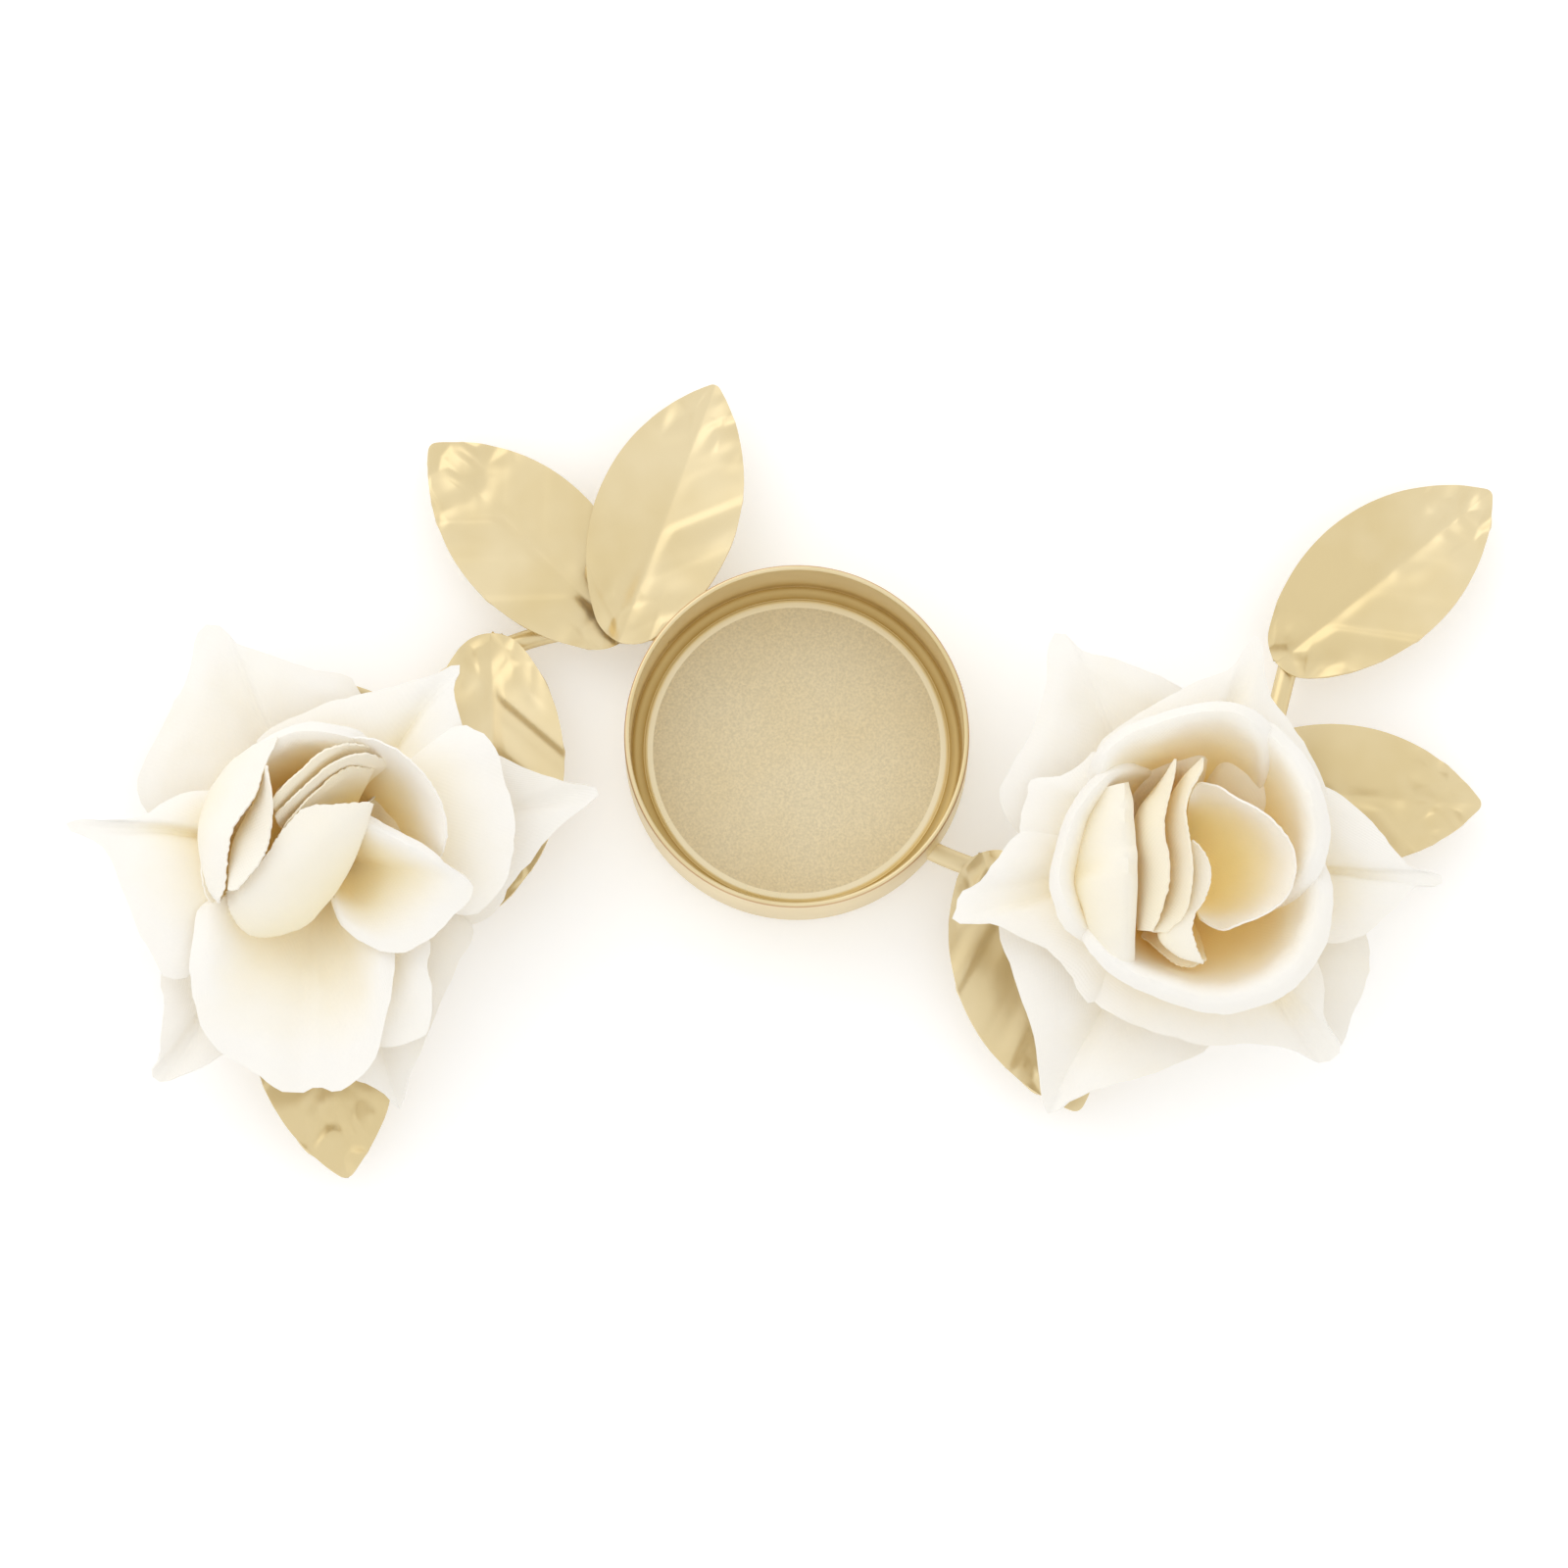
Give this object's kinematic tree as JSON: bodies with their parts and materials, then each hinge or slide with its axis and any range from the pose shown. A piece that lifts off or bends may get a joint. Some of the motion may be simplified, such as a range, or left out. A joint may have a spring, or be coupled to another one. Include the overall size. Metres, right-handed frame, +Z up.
{
  "type": "candle ring",
  "caption": "Candle ring: a round metal cup for a tea light, held between bent wires with pressed leaves and cloth roses.",
  "frame": {"origin": "on the candle cup's axis, in the plane of the table it stands on", "axes": "+Z up out of the candle cup's mouth; +X along the ring's length, towards the rose with three leaves; +Y towards the side where the leaf beside the cup points"},
  "size_m": [0.1786, 0.0996, 0.0333],
  "materials": {
    "gold_metal": "satin champagne gold lacquer on steel",
    "petal_cloth": "woven ivory cloth, matt",
    "calyx_plastic": "matt",
    "bud_plastic": "matt"
  },
  "bodies": {
    "root": {"candle_cup": "gold_metal", "left_branch": "gold_metal", "right_branch": "gold_metal", "left_cup_lower_leaf": "gold_metal", "left_cup_upper_leaf": "gold_metal", "left_middle_leaf": "gold_metal", "left_outer_leaf": "gold_metal", "left_end_leaf": "gold_metal", "right_cup_leaf": "gold_metal", "right_middle_leaf": "gold_metal", "right_end_leaf": "gold_metal", "left_rose_post": "gold_metal", "left_rose_calyx": "calyx_plastic", "left_rose_outer_petals": "petal_cloth", "left_rose_second_petals": "petal_cloth", "left_rose_bowl_petals": "petal_cloth", "left_rose_inner_petals": "petal_cloth", "left_rose_heart_petals": "petal_cloth", "left_rose_bud": "bud_plastic", "right_rose_post": "gold_metal", "right_rose_calyx": "calyx_plastic", "right_rose_outer_petals": "petal_cloth", "right_rose_second_petals": "petal_cloth", "right_rose_bowl_petals": "petal_cloth", "right_rose_inner_petals": "petal_cloth", "right_rose_heart_petals": "petal_cloth", "right_rose_bud": "bud_plastic"}
  },
  "joints": []
}
